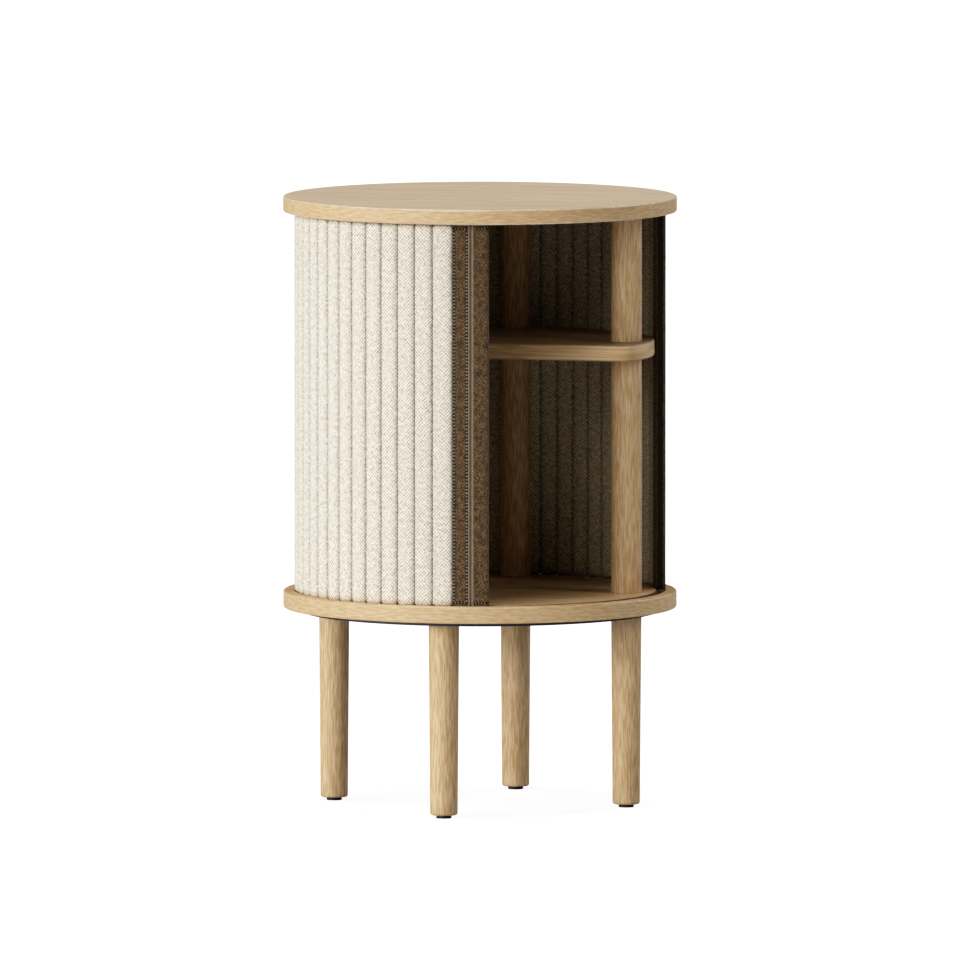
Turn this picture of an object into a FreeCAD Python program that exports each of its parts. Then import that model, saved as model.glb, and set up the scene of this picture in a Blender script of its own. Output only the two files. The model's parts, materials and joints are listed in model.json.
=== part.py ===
"""Round bedside cabinet with a tambour curtain that turns on a circular track.

Frame: +Z up, origin on the floor at the cabinet's centre line, front towards -Y.
Millimetres and degrees. Angles round the cabinet are counterclockwise from +X.
"""

import FreeCAD, Part
import os
import Sketcher

doc = FreeCAD.newDocument("RoundTambourCabinet")
sheet = doc.addObject("Spreadsheet::Sheet", "Dims")

DRIVING_DIMENSIONS = [
    ("total_height", 600, "floor to top face"),
    ("disc_radius", 193.5, "top and base panels"),
    ("disc_edge_round", 1.5, "rounding of the panels' rims"),
    ("top_thickness", 15, "top panel"),
    ("base_underside", 195, "floor to underside of base panel"),
    ("base_thickness", 16.5, "base panel"),
    ("groove_inner_radius", 173.1, "ring groove for the curtain's tracks"),
    ("groove_outer_radius", 182.9, "ring groove for the curtain's tracks"),
    ("groove_depth", 7.5, "ring groove for the curtain's tracks"),
    ("track_sunk", 0.5, "track rim below the panel's face"),
    ("track_floor", 1.5, "track web"),
    ("track_slot_inner_radius", 175.85, "slot that guides the slat tongues"),
    ("track_slot_outer_radius", 180.85, "slot that guides the slat tongues"),
    ("plate_radius", 176, "laminate plate under the base panel"),
    ("plate_thickness", 4, "laminate plate under the base panel"),
    ("plate_screw_ring", 110, "radius of the ring of plate screws"),
    ("screw_head_radius", 4, "countersunk plate screw"),
    ("screw_shank_radius", 2, "countersunk plate screw"),
    ("screw_length", 13, "countersunk plate screw"),
    ("post_ring", 148, "radius of the ring of legs and posts"),
    ("post_radius", 15, "round post and top of a leg"),
    ("post_edge_break", 0.5, "small bevel on the ends of a post"),
    ("leg_foot_radius", 13.5, "lower end of a tapered leg"),
    ("leg_foot_round", 2.5, "rounding of a leg's lower end"),
    ("glide_radius", 7.5, "plastic glide under a leg"),
    ("glide_height", 3, "plastic glide under a leg"),
    ("glide_recess_radius", 3.4, "recess for the glide screw's head"),
    ("glide_recess_depth", 2, "recess for the glide screw's head"),
    ("glide_screw_radius", 1.5, "shank of a glide screw"),
    ("glide_screw_length", 16, "shank of a glide screw"),
    ("shelf_underside", 443, "floor to underside of shelf"),
    ("shelf_thickness", 16, "shelf"),
    ("shelf_radius", 171.5, "round edge of the shelf"),
    ("shelf_front", 52, "centre line to the shelf's straight front edge"),
    ("shelf_corner_round", 20, "front corners of the shelf, in plan"),
    ("shelf_edge_round", 2, "edges of the shelf"),
    ("stud_radius", 4, "threaded stud"),
    ("stud_clearance", 0.5, "radial room round a stud in a through hole"),
    ("insert_radius", 6, "threaded insert"),
    ("insert_length", 13, "threaded insert in a leg or post"),
    ("insert_bore_depth", 15, "bore for an insert in a leg or post"),
    ("panel_insert_length", 10, "threaded insert in a panel"),
    ("panel_bore_depth", 10.5, "bore for an insert in a panel"),
    ("slat_inner_face", 175.2, "centre line to a slat's inner face"),
    ("slat_thickness", 6.1, "curtain slat"),
    ("skin_room", 0.2, "room for a flat slat inside the round outer skin"),
    ("slat_width", 16, "curtain slat"),
    ("slat_edge_round", 2, "long edges of a slat"),
    ("slat_foot", 213, "floor to a slat's lower shoulder"),
    ("slat_head", 582, "floor to a slat's upper shoulder"),
    ("tongue_inner_face", 176.35, "centre line to a tongue's inner face"),
    ("tongue_thickness", 4, "tongue at each end of a slat"),
    ("tongue_width", 15, "tongue at each end of a slat"),
    ("tongue_foot", 205.9, "floor to the lower tongue's end"),
    ("tongue_head", 588.5, "floor to the upper tongue's end"),
    ("skin_thickness", 1.2, "curtain fabric and leather"),
    ("skin_foot", 212, "floor to the curtain's lower hem"),
    ("skin_head", 583.6, "floor to the curtain's upper hem"),
    ("curtain_start", 14.25, "angle of the curtain's right-hand end"),
    ("pull_half", 5.65, "half of the angle taken by a leather pull"),
    ("pull_slat_spacing", 5.4, "angle between the two slats inside a pull"),
    ("end_slat_pitch", 6.4, "angle taken by the fabric slat beside a pull"),
    ("slat_pitch", 5.78, "angle taken by every other slat"),
    ("pull_end_wall", 0.4, "angle taken by the closed end of a pull"),
]
REGULAR_SLATS = 41
SLATS_PER_NODE = 2
PLATE_SCREWS = 6
FRONT, RIGHT, BACK, LEFT = ("front", -90), ("right", 0), ("back", 90), ("left", 180)
LEG_PLACES = [FRONT, RIGHT, BACK, LEFT]
POST_PLACES = [RIGHT, BACK, LEFT]

# Where the curtain's cloth meets its two pulls, and the radius inside its outer skin.
COVER_SPAN = f"2 * Dims.end_slat_pitch + {REGULAR_SLATS} * Dims.slat_pitch"
RIGHT_SEAM = "Dims.curtain_start + 2 * Dims.pull_half"
FRONT_SEAM = f"{RIGHT_SEAM} + {COVER_SPAN}"
OUTER_SKIN = "Dims.slat_inner_face + Dims.slat_thickness + Dims.skin_room"

Z_AXIS = FreeCAD.Vector(0, 0, 1)
subparts = []


def fill_sheet():
    for row, (alias, value, meaning) in enumerate(DRIVING_DIMENSIONS, start=1):
        sheet.set(f"A{row}", meaning)
        sheet.set(f"B{row}", str(value))
        sheet.setAlias(f"B{row}", alias)
    doc.recompute()


def bind(obj, **expressions):
    """Bind properties to expressions; a double underscore stands for a dot."""
    for name, expression in expressions.items():
        obj.setExpression(name.replace("__", "."), expression)


def value_of(expression):
    result = sheet.evalExpression(expression.replace("Dims.", ""))
    return float(getattr(result, "Value", result))


def keep(obj, node):
    """Register an object as the sub-part that is written to parts/node.step."""
    obj.Label = node
    subparts.append(obj)
    return obj


# ---------------------------------------------------------------- PartDesign helpers

def new_body(name):
    return doc.addObject("PartDesign::Body", name)


def new_sketch(body, plane, name):
    """A sketch on one of the body's own origin planes: XY_Plane or XZ_Plane."""
    sketch = body.newObject("Sketcher::SketchObject", name)
    support = next(item for item in body.Origin.OriginFeatures if item.Role == plane)
    sketch.AttachmentSupport = [(support, "")]
    sketch.MapMode = "FlatFace"
    return sketch


def draw_outline(sketch, corners):
    """Closed outline of straight lines; each corner is a pair of expressions."""
    points = [FreeCAD.Vector(value_of(across), value_of(up), 0) for across, up in corners]
    count = len(points)
    for index in range(count):
        sketch.addGeometry(Part.LineSegment(points[index], points[(index + 1) % count]))
    for index in range(count):
        sketch.addConstraint(Sketcher.Constraint("Coincident", index, 2, (index + 1) % count, 1))
    for index, (across, up) in enumerate(corners):
        for kind, expression in (("DistanceX", across), ("DistanceY", up)):
            size = value_of(expression)
            row = sketch.addConstraint(Sketcher.Constraint(kind, -1, 1, index, 1, size))
            bind(sketch, **{f"Constraints[{row}]": expression})


def draw_circle(sketch, radius, across="0", up="0"):
    centre = FreeCAD.Vector(value_of(across), value_of(up), 0)
    circle = sketch.addGeometry(Part.Circle(centre, Z_AXIS, value_of(radius)))
    for kind, expression, start in (("DistanceX", across, centre.x), ("DistanceY", up, centre.y)):
        row = sketch.addConstraint(Sketcher.Constraint(kind, -1, 1, circle, 3, start))
        bind(sketch, **{f"Constraints[{row}]": expression})
    row = sketch.addConstraint(Sketcher.Constraint("Radius", circle, value_of(radius)))
    bind(sketch, **{f"Constraints[{row}]": radius})


def lift(sketch, height):
    """Move a sketch along its own normal."""
    bind(sketch, AttachmentOffset__Base__z=height)


def pad(body, sketch, length, name="Pad"):
    feature = body.newObject("PartDesign::Pad", name)
    feature.Profile = sketch
    bind(feature, Length=length)
    return feature


def pocket_up(body, sketch, length, name="Pocket"):
    """Cut from the sketch upwards."""
    feature = body.newObject("PartDesign::Pocket", name)
    feature.Profile = sketch
    feature.Reversed = True
    bind(feature, Length=length)
    return feature


def revolve(body, sketch, kind="PartDesign::Revolution", angle="360", backwards=False):
    """Turn a sketch on the XZ plane about the body's Z axis, to add or to cut."""
    feature = body.newObject(kind, kind.split("::")[1])
    feature.Profile = sketch
    feature.ReferenceAxis = (sketch, ["V_Axis"])
    feature.Reversed = backwards
    bind(feature, Angle=angle)
    return feature


def round_edges(body, feature, radius, wanted, kind="PartDesign::Fillet"):
    """Fillet or chamfer the feature's edges for which wanted(edge) is true."""
    doc.recompute()
    edges = enumerate(feature.Shape.Edges, start=1)
    names = [f"Edge{number}" for number, edge in edges if wanted(edge)]
    dressing = body.newObject(kind, kind.split("::")[1])
    dressing.Base = (feature, names)
    bind(dressing, **{"Radius" if kind.endswith("Fillet") else "Size": radius})
    return dressing


def level(edge, height):
    """True for an edge that lies flat at the given height."""
    box = edge.BoundBox
    return box.ZLength < 0.01 and abs(box.ZMin - height) < 0.01


def upright(edge):
    return edge.BoundBox.ZLength > 5 and edge.BoundBox.XLength + edge.BoundBox.YLength < 0.01


def radius_at(edge, radius):
    return abs(getattr(edge.Curve, "Radius", 0) - radius) < 0.01


def cut_upright_bore(body, ring, angle, radius, foot, depth):
    """Blind or through round bore, upwards from foot, at a place on a ring."""
    sketch = new_sketch(body, "XY_Plane", "BoreSketch")
    draw_circle(sketch, radius, f"{ring} * cos({angle} deg)", f"{ring} * sin({angle} deg)")
    lift(sketch, foot)
    return pocket_up(body, sketch, depth, "Bore")


def put_on_ring(obj, angle):
    """Stand an object that is modelled about its own axis on the ring of posts."""
    obj.Placement = FreeCAD.Placement()
    bind(obj, Placement__Base__x=f"Dims.post_ring * cos({angle} deg)")
    bind(obj, Placement__Base__y=f"Dims.post_ring * sin({angle} deg)")


def copies(source, name, count, turn):
    """Links to one placed solid, turned about the cabinet's axis by turn(index)."""
    links = []
    for index in range(count):
        link = doc.addObject("App::Link", f"{name}_{index + 1}")
        link.LinkedObject = source
        link.LinkTransform = True
        link.Placement.Rotation = FreeCAD.Rotation(Z_AXIS, 1)
        bind(link, Placement__Rotation__Angle=turn(index))
        links.append(link)
    return links


def group(node, members):
    compound = doc.addObject("Part::Compound", node)
    compound.Links = members
    return keep(compound, node)


# ---------------------------------------------------------------- panels and tracks

def make_top_panel():
    """Disc with a ring groove in its underside and three blind bores for inserts."""
    underside = "Dims.total_height - Dims.top_thickness"
    body = new_body("TopPanel")
    sketch = new_sketch(body, "XY_Plane", "Disc")
    draw_circle(sketch, "Dims.disc_radius")
    lift(sketch, underside)
    disc = pad(body, sketch, "Dims.top_thickness")
    rims = (value_of("Dims.total_height"), value_of(underside))
    round_edges(body, disc, "Dims.disc_edge_round",
                lambda edge: any(level(edge, height) for height in rims))
    groove = new_sketch(body, "XZ_Plane", "GrooveSection")
    groove_top = f"{underside} + Dims.groove_depth"
    draw_outline(groove, [("Dims.groove_inner_radius", underside),
                          ("Dims.groove_outer_radius", underside),
                          ("Dims.groove_outer_radius", groove_top),
                          ("Dims.groove_inner_radius", groove_top)])
    revolve(body, groove, "PartDesign::Groove")
    for _, angle in POST_PLACES:
        cut_upright_bore(body, "Dims.post_ring", angle, "Dims.insert_radius",
                         underside, "Dims.panel_bore_depth")
    keep(body, "top_panel")


def make_base_panel():
    """Disc with a ring groove in its deck, and bores for the leg and post studs."""
    deck = "Dims.base_underside + Dims.base_thickness"
    body = new_body("BasePanel")
    sketch = new_sketch(body, "XY_Plane", "Disc")
    draw_circle(sketch, "Dims.disc_radius")
    lift(sketch, "Dims.base_underside")
    disc = pad(body, sketch, "Dims.base_thickness")
    rims = (value_of("Dims.base_underside"), value_of(deck))
    round_edges(body, disc, "Dims.disc_edge_round",
                lambda edge: any(level(edge, height) for height in rims))
    groove = new_sketch(body, "XZ_Plane", "GrooveSection")
    groove_floor = f"{deck} - Dims.groove_depth"
    draw_outline(groove, [("Dims.groove_inner_radius", groove_floor),
                          ("Dims.groove_outer_radius", groove_floor),
                          ("Dims.groove_outer_radius", deck),
                          ("Dims.groove_inner_radius", deck)])
    revolve(body, groove, "PartDesign::Groove")
    for _, angle in POST_PLACES:
        cut_upright_bore(body, "Dims.post_ring", angle, "Dims.stud_radius + Dims.stud_clearance",
                         "Dims.base_underside", "Dims.base_thickness")
    cut_upright_bore(body, "Dims.post_ring", FRONT[1], "Dims.insert_radius",
                     "Dims.base_underside", "Dims.panel_bore_depth")
    for index in range(PLATE_SCREWS):
        cut_upright_bore(body, "Dims.plate_screw_ring", 30 + index * 360 / PLATE_SCREWS,
                         "Dims.screw_shank_radius", "Dims.base_underside",
                         "Dims.screw_length - Dims.plate_thickness")
    keep(body, "base_panel")


def make_track(node, web, rim):
    """U-section ring; web and rim are the heights of its closed and open sides."""
    inward = "+" if value_of(rim) > value_of(web) else "-"
    slot_floor = f"{web} {inward} Dims.track_floor"
    body = new_body(node)
    sketch = new_sketch(body, "XZ_Plane", "Section")
    draw_outline(sketch, [("Dims.groove_inner_radius", web),
                          ("Dims.groove_outer_radius", web),
                          ("Dims.groove_outer_radius", rim),
                          ("Dims.track_slot_outer_radius", rim),
                          ("Dims.track_slot_outer_radius", slot_floor),
                          ("Dims.track_slot_inner_radius", slot_floor),
                          ("Dims.track_slot_inner_radius", rim),
                          ("Dims.groove_inner_radius", rim)])
    revolve(body, sketch)
    keep(body, node)


def make_tracks():
    deck = "Dims.base_underside + Dims.base_thickness"
    make_track("lower_track", f"{deck} - Dims.groove_depth", f"{deck} - Dims.track_sunk")
    ceiling = "Dims.total_height - Dims.top_thickness"
    make_track("upper_track", f"{ceiling} + Dims.groove_depth", f"{ceiling} + Dims.track_sunk")


def make_base_plate():
    """Laminate disc with clearance holes for the studs and countersunk screw holes."""
    underside = "Dims.base_underside - Dims.plate_thickness"
    body = new_body("BasePlate")
    sketch = new_sketch(body, "XY_Plane", "Disc")
    draw_circle(sketch, "Dims.plate_radius")
    lift(sketch, underside)
    pad(body, sketch, "Dims.plate_thickness")
    for _, angle in LEG_PLACES:
        cut_upright_bore(body, "Dims.post_ring", angle, "Dims.stud_radius + Dims.stud_clearance",
                         underside, "Dims.plate_thickness")
    sink = body.newObject("PartDesign::SubtractiveCone", "Countersink")
    bind(sink, Radius1="Dims.screw_head_radius", Radius2="Dims.screw_shank_radius",
         Height="Dims.plate_thickness",
         Placement__Base__x="Dims.plate_screw_ring * cos(30 deg)",
         Placement__Base__y="Dims.plate_screw_ring * sin(30 deg)",
         Placement__Base__z=underside)
    doc.recompute()
    ring = body.newObject("PartDesign::PolarPattern", "ScrewHoles")
    ring.Originals = [sink]
    ring.Axis = (sketch, ["N_Axis"])
    ring.Angle = 360
    ring.Occurrences = PLATE_SCREWS
    body.Tip = ring
    keep(body, "base_plate")


def make_base_plate_screws():
    underside = "Dims.base_underside - Dims.plate_thickness"
    body = new_body("PlateScrew")
    sketch = new_sketch(body, "XZ_Plane", "Section")
    tip = f"{underside} + Dims.screw_length"
    draw_outline(sketch, [("0", underside),
                          ("Dims.screw_head_radius", underside),
                          ("Dims.screw_shank_radius", "Dims.base_underside"),
                          ("Dims.screw_shank_radius", tip),
                          ("0", tip)])
    revolve(body, sketch)
    bind(body, Placement__Base__x="Dims.plate_screw_ring * cos(30 deg)",
         Placement__Base__y="Dims.plate_screw_ring * sin(30 deg)")
    group("base_plate_screws", copies(body, "plate_screw", PLATE_SCREWS,
                                      lambda index: f"{index * 360 / PLATE_SCREWS}"))


def make_shelf():
    """Round shelf cut straight across its front, with three holes for studs."""
    body = new_body("Shelf")
    sketch = new_sketch(body, "XY_Plane", "Disc")
    draw_circle(sketch, "Dims.shelf_radius")
    lift(sketch, "Dims.shelf_underside")
    pad(body, sketch, "Dims.shelf_thickness")
    front = new_sketch(body, "XY_Plane", "FrontCut")
    draw_outline(front, [("-Dims.shelf_radius", "-Dims.shelf_radius"),
                         ("Dims.shelf_radius", "-Dims.shelf_radius"),
                         ("Dims.shelf_radius", "-Dims.shelf_front"),
                         ("-Dims.shelf_radius", "-Dims.shelf_front")])
    lift(front, "Dims.shelf_underside")
    cut = pocket_up(body, front, "Dims.shelf_thickness", "StraightFront")
    corners = round_edges(body, cut, "Dims.shelf_corner_round", upright)
    doc.recompute()
    faces = (value_of("Dims.shelf_underside"),
             value_of("Dims.shelf_underside + Dims.shelf_thickness"))
    round_edges(body, corners, "Dims.shelf_edge_round",
                lambda edge: any(level(edge, height) for height in faces))
    for _, angle in POST_PLACES:
        cut_upright_bore(body, "Dims.post_ring", angle, "Dims.stud_radius + Dims.stud_clearance",
                         "Dims.shelf_underside", "Dims.shelf_thickness")
    keep(body, "shelf")


# ---------------------------------------------------------------- legs, posts, fasteners

def make_leg(place, angle):
    """Tapered round leg with a rounded foot, an insert bore and a screw hole."""
    top = "Dims.base_underside - Dims.plate_thickness"
    bore_floor = f"{top} - Dims.insert_bore_depth"
    hole_top = "Dims.glide_height + Dims.glide_screw_length"
    body = new_body(f"Leg_{place}")
    sketch = new_sketch(body, "XZ_Plane", "Section")
    draw_outline(sketch, [("Dims.glide_screw_radius", "Dims.glide_height"),
                          ("Dims.leg_foot_radius", "Dims.glide_height"),
                          ("Dims.post_radius", top),
                          ("Dims.insert_radius", top),
                          ("Dims.insert_radius", bore_floor),
                          ("0", bore_floor),
                          ("0", hole_top),
                          ("Dims.glide_screw_radius", hole_top)])
    turned = revolve(body, sketch)
    foot = value_of("Dims.glide_height")
    round_edges(body, turned, "Dims.leg_foot_round",
                lambda edge: level(edge, foot) and radius_at(edge, value_of("Dims.leg_foot_radius")))
    put_on_ring(body, angle)
    keep(body, f"leg_{place}")


def make_glide(place, angle):
    body = new_body(f"Glide_{place}")
    sketch = new_sketch(body, "XZ_Plane", "Section")
    draw_outline(sketch, [("Dims.glide_recess_radius", "0"),
                          ("Dims.glide_radius", "0"),
                          ("Dims.glide_radius", "Dims.glide_height"),
                          ("Dims.glide_screw_radius", "Dims.glide_height"),
                          ("Dims.glide_screw_radius", "Dims.glide_recess_depth"),
                          ("Dims.glide_recess_radius", "Dims.glide_recess_depth")])
    revolve(body, sketch)
    put_on_ring(body, angle)
    keep(body, f"glide_{place}")


def make_glide_screws():
    """Pan-head screw inside the recess of each glide."""
    head_foot = "Dims.glide_recess_depth / 4"
    head_radius = "Dims.glide_recess_radius - 0.2"
    tip = "Dims.glide_height + Dims.glide_screw_length"
    body = new_body("GlideScrew")
    sketch = new_sketch(body, "XZ_Plane", "Section")
    draw_outline(sketch, [("0", head_foot),
                          (head_radius, head_foot),
                          (head_radius, "Dims.glide_recess_depth"),
                          ("Dims.glide_screw_radius", "Dims.glide_recess_depth"),
                          ("Dims.glide_screw_radius", tip),
                          ("0", tip)])
    revolve(body, sketch)
    bind(body, Placement__Base__x="Dims.post_ring")
    group("glide_screws", copies(body, "glide_screw", len(LEG_PLACES),
                                 lambda index: f"{LEG_PLACES[index][1]}"))


def make_post(node, angle, foot, head):
    """Round post with a bore for an insert in each end."""
    body = new_body(node)
    sketch = new_sketch(body, "XY_Plane", "Round")
    draw_circle(sketch, "Dims.post_radius")
    lift(sketch, foot)
    post = pad(body, sketch, f"{head} - ({foot})")
    ends = (value_of(foot), value_of(head))
    round_edges(body, post, "Dims.post_edge_break",
                lambda edge: any(level(edge, height) for height in ends), "PartDesign::Chamfer")
    for bore_foot in (foot, f"{head} - Dims.insert_bore_depth"):
        bore = new_sketch(body, "XY_Plane", "BoreSketch")
        draw_circle(bore, "Dims.insert_radius")
        lift(bore, bore_foot)
        pocket_up(body, bore, "Dims.insert_bore_depth", "Bore")
    put_on_ring(body, angle)
    keep(body, node)


def make_posts():
    deck = "Dims.base_underside + Dims.base_thickness"
    shelf_top = "Dims.shelf_underside + Dims.shelf_thickness"
    ceiling = "Dims.total_height - Dims.top_thickness"
    for place, angle in POST_PLACES:
        make_post(f"lower_post_{place}", angle, deck, "Dims.shelf_underside")
        make_post(f"upper_post_{place}", angle, shelf_top, ceiling)


def make_rods(node, places, outer, spans, bore=None):
    """Upright rods or sleeves on the ring of posts; spans are (foot, length) pairs."""
    members = []
    for place, angle in places:
        for number, (foot, length) in enumerate(spans, start=1):
            name = f"{node}_{place}_{number}"
            rod = doc.addObject("Part::Cylinder", name)
            bind(rod, Radius=outer, Height=length)
            if bore:
                hole = doc.addObject("Part::Cylinder", f"{name}_bore")
                bind(hole, Radius=bore, Height=length)
                sleeve = doc.addObject("Part::Cut", f"{name}_sleeve")
                sleeve.Base = rod
                sleeve.Tool = hole
                rod = sleeve
            put_on_ring(rod, angle)
            bind(rod, Placement__Base__z=foot)
            members.append(rod)
    return members


def make_fasteners():
    """Threaded studs on the ring of posts, and the sleeves that they screw into."""
    leg_top = "Dims.base_underside - Dims.plate_thickness"
    deck = "Dims.base_underside + Dims.base_thickness"
    shelf_top = "Dims.shelf_underside + Dims.shelf_thickness"
    ceiling = "Dims.total_height - Dims.top_thickness"
    stud, sleeve, length = "Dims.stud_radius", "Dims.insert_radius", "Dims.insert_length"
    panel_length = "Dims.panel_insert_length"

    leg_foot = f"{leg_top} - {length}"
    group("leg_inserts", make_rods("leg_insert", LEG_PLACES, sleeve, [(leg_foot, length)], stud))
    through = make_rods("leg_stud", POST_PLACES, stud,
                        [(leg_foot, f"{deck} + {length} - ({leg_foot})")])
    short = make_rods("leg_stud", [FRONT], stud,
                      [(leg_foot, f"Dims.base_underside + {panel_length} - ({leg_foot})")])
    group("leg_studs", through + short)
    group("base_insert", make_rods("panel_insert", [FRONT], sleeve,
                                   [("Dims.base_underside", panel_length)], stud))
    ends = [deck, f"Dims.shelf_underside - {length}", shelf_top, f"{ceiling} - {length}"]
    group("post_inserts", make_rods("post_insert", POST_PLACES, sleeve,
                                    [(foot, length) for foot in ends], stud))
    group("shelf_studs", make_rods("shelf_stud", POST_PLACES, stud,
                                   [(ends[1], f"Dims.shelf_thickness + 2 * {length}")]))
    group("top_inserts", make_rods("top_insert", POST_PLACES, sleeve,
                                   [(ceiling, panel_length)], stud))
    group("top_studs", make_rods("top_stud", POST_PLACES, stud,
                                 [(ends[3], f"{length} + {panel_length}")]))


# ---------------------------------------------------------------- curtain

def make_slat_blank():
    """One flat slat with a tongue at each end, standing across +X."""
    slat = new_body("SlatBlank")
    outer_face = "Dims.slat_inner_face + Dims.slat_thickness"
    section = new_sketch(slat, "XY_Plane", "Section")
    draw_outline(section, [("Dims.slat_inner_face", "-Dims.slat_width / 2"),
                           (outer_face, "-Dims.slat_width / 2"),
                           (outer_face, "Dims.slat_width / 2"),
                           ("Dims.slat_inner_face", "Dims.slat_width / 2")])
    lift(section, "Dims.slat_foot")
    board = pad(slat, section, "Dims.slat_head - Dims.slat_foot")
    round_edges(slat, board, "Dims.slat_edge_round", upright)
    tongue_outer = "Dims.tongue_inner_face + Dims.tongue_thickness"
    tongue = new_sketch(slat, "XY_Plane", "TongueSection")
    draw_outline(tongue, [("Dims.tongue_inner_face", "-Dims.tongue_width / 2"),
                          (tongue_outer, "-Dims.tongue_width / 2"),
                          (tongue_outer, "Dims.tongue_width / 2"),
                          ("Dims.tongue_inner_face", "Dims.tongue_width / 2")])
    lift(tongue, "Dims.tongue_foot")
    pad(slat, tongue, "Dims.tongue_head - Dims.tongue_foot", "Tongues")
    return slat


def slat_angles():
    """Expressions for the angle of each slat's middle, from the right-hand end round."""
    first_regular = f"{RIGHT_SEAM} + Dims.end_slat_pitch"
    last_fabric = f"{first_regular} + {REGULAR_SLATS} * Dims.slat_pitch"
    right_pull = [f"{RIGHT_SEAM} - {half} * Dims.pull_slat_spacing" for half in (1.5, 0.5)]
    fabric = [f"{RIGHT_SEAM} + Dims.end_slat_pitch / 2"]
    fabric += [f"{first_regular} + {step + 0.5} * Dims.slat_pitch" for step in range(REGULAR_SLATS)]
    fabric += [f"{last_fabric} + Dims.end_slat_pitch / 2"]
    front_pull = [f"{FRONT_SEAM} + {half} * Dims.pull_slat_spacing" for half in (0.5, 1.5)]
    return right_pull, fabric, front_pull


def make_slats():
    blank = make_slat_blank()
    right_pull, fabric, front_pull = slat_angles()
    group("pull_slats_right", copies(blank, "right_pull_slat", 2, lambda index: right_pull[index]))
    group("pull_slats_front", copies(blank, "front_pull_slat", 2, lambda index: front_pull[index]))
    for first in range(0, len(fabric), SLATS_PER_NODE):
        angles = fabric[first:first + SLATS_PER_NODE]
        numbers = "_".join(f"{first + step + 1:02d}" for step in range(len(angles)))
        prefix = "slats" if len(angles) > 1 else "slat"
        group(f"{prefix}_{numbers}", copies(blank, f"slat_copy_{first + 1:02d}", len(angles),
                                            lambda index, angles=angles: angles[index]))


def skin_section(body, inner, outer):
    sketch = new_sketch(body, "XZ_Plane", "SkinSection")
    draw_outline(sketch, [(inner, "Dims.skin_foot"), (outer, "Dims.skin_foot"),
                          (outer, "Dims.skin_head"), (inner, "Dims.skin_head")])
    return sketch


def turn_body(body, angle):
    body.Placement = FreeCAD.Placement(FreeCAD.Vector(), FreeCAD.Rotation(Z_AXIS, 1))
    bind(body, Placement__Rotation__Angle=angle)


def make_covers():
    """Fabric skins over the outer and inner faces of the slats, between the pulls."""
    skins = [("cover_outer", OUTER_SKIN, f"{OUTER_SKIN} + Dims.skin_thickness"),
             ("cover_inner", "Dims.slat_inner_face - Dims.skin_thickness", "Dims.slat_inner_face")]
    for node, inner, outer in skins:
        body = new_body(node)
        revolve(body, skin_section(body, inner, outer), angle=COVER_SPAN)
        turn_body(body, RIGHT_SEAM)
        keep(body, node)


def make_pull(node, open_side, backwards):
    """Leather sleeve round two slats, open at its seam and closed at the free end."""
    body = new_body(node)
    block = skin_section(body, "Dims.slat_inner_face - Dims.skin_thickness",
                         f"{OUTER_SKIN} + Dims.skin_thickness")
    revolve(body, block, angle="2 * Dims.pull_half", backwards=backwards)
    room = skin_section(body, "Dims.slat_inner_face", OUTER_SKIN)
    revolve(body, room, "PartDesign::Groove", "2 * Dims.pull_half - Dims.pull_end_wall", backwards)
    turn_body(body, open_side)
    keep(body, node)


# ---------------------------------------------------------------- build, check, write

def check_document():
    doc.recompute()
    failed = [obj.Label for obj in doc.Objects
              if "Invalid" in obj.State or "Error" in obj.State]
    broken = [obj.Label for obj in subparts if obj.Shape.isNull() or not obj.Shape.isValid()]
    if failed or broken:
        raise RuntimeError(f"failed objects: {failed}, broken shapes: {broken}")


def write_parts():
    os.makedirs("parts", exist_ok=True)
    for obj in subparts:
        obj.Shape.exportStep(f"parts/{obj.Label}.step")
        print(f"{obj.Label:22s} solids {len(obj.Shape.Solids):2d}  {obj.Shape.Volume:12.1f} mm3")


fill_sheet()
make_top_panel()
make_base_panel()
make_tracks()
make_base_plate()
make_base_plate_screws()
make_shelf()
for leg_place, leg_angle in LEG_PLACES:
    make_leg(leg_place, leg_angle)
    make_glide(leg_place, leg_angle)
make_glide_screws()
make_posts()
make_fasteners()
make_slats()
make_covers()
make_pull("pull_right", RIGHT_SEAM, backwards=True)
make_pull("pull_front", FRONT_SEAM, backwards=False)
check_document()
write_parts()
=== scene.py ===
"""Round oak bedside cabinet with a cream fabric tambour curtain and leather pulls.

Metres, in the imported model's frame: +Z up, front towards -Y.
"""
import json
import math

import bpy
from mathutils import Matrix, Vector, noise


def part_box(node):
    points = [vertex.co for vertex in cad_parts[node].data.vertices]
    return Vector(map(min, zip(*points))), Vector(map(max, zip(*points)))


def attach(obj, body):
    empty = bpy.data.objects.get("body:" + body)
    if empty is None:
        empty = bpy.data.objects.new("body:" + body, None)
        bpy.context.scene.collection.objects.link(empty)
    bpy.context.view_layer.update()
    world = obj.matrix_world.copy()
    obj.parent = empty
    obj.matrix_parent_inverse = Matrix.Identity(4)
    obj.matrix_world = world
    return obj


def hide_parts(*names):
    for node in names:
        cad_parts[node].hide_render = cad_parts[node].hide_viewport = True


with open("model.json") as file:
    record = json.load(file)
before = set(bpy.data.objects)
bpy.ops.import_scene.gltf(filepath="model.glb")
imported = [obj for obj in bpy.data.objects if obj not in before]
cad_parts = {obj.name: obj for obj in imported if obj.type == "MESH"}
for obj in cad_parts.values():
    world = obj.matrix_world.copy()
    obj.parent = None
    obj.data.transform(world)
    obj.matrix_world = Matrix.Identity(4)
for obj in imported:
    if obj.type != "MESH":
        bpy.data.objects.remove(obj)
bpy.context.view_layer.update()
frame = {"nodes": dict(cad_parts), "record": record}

MM = 0.001
DEG = math.pi / 180

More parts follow.
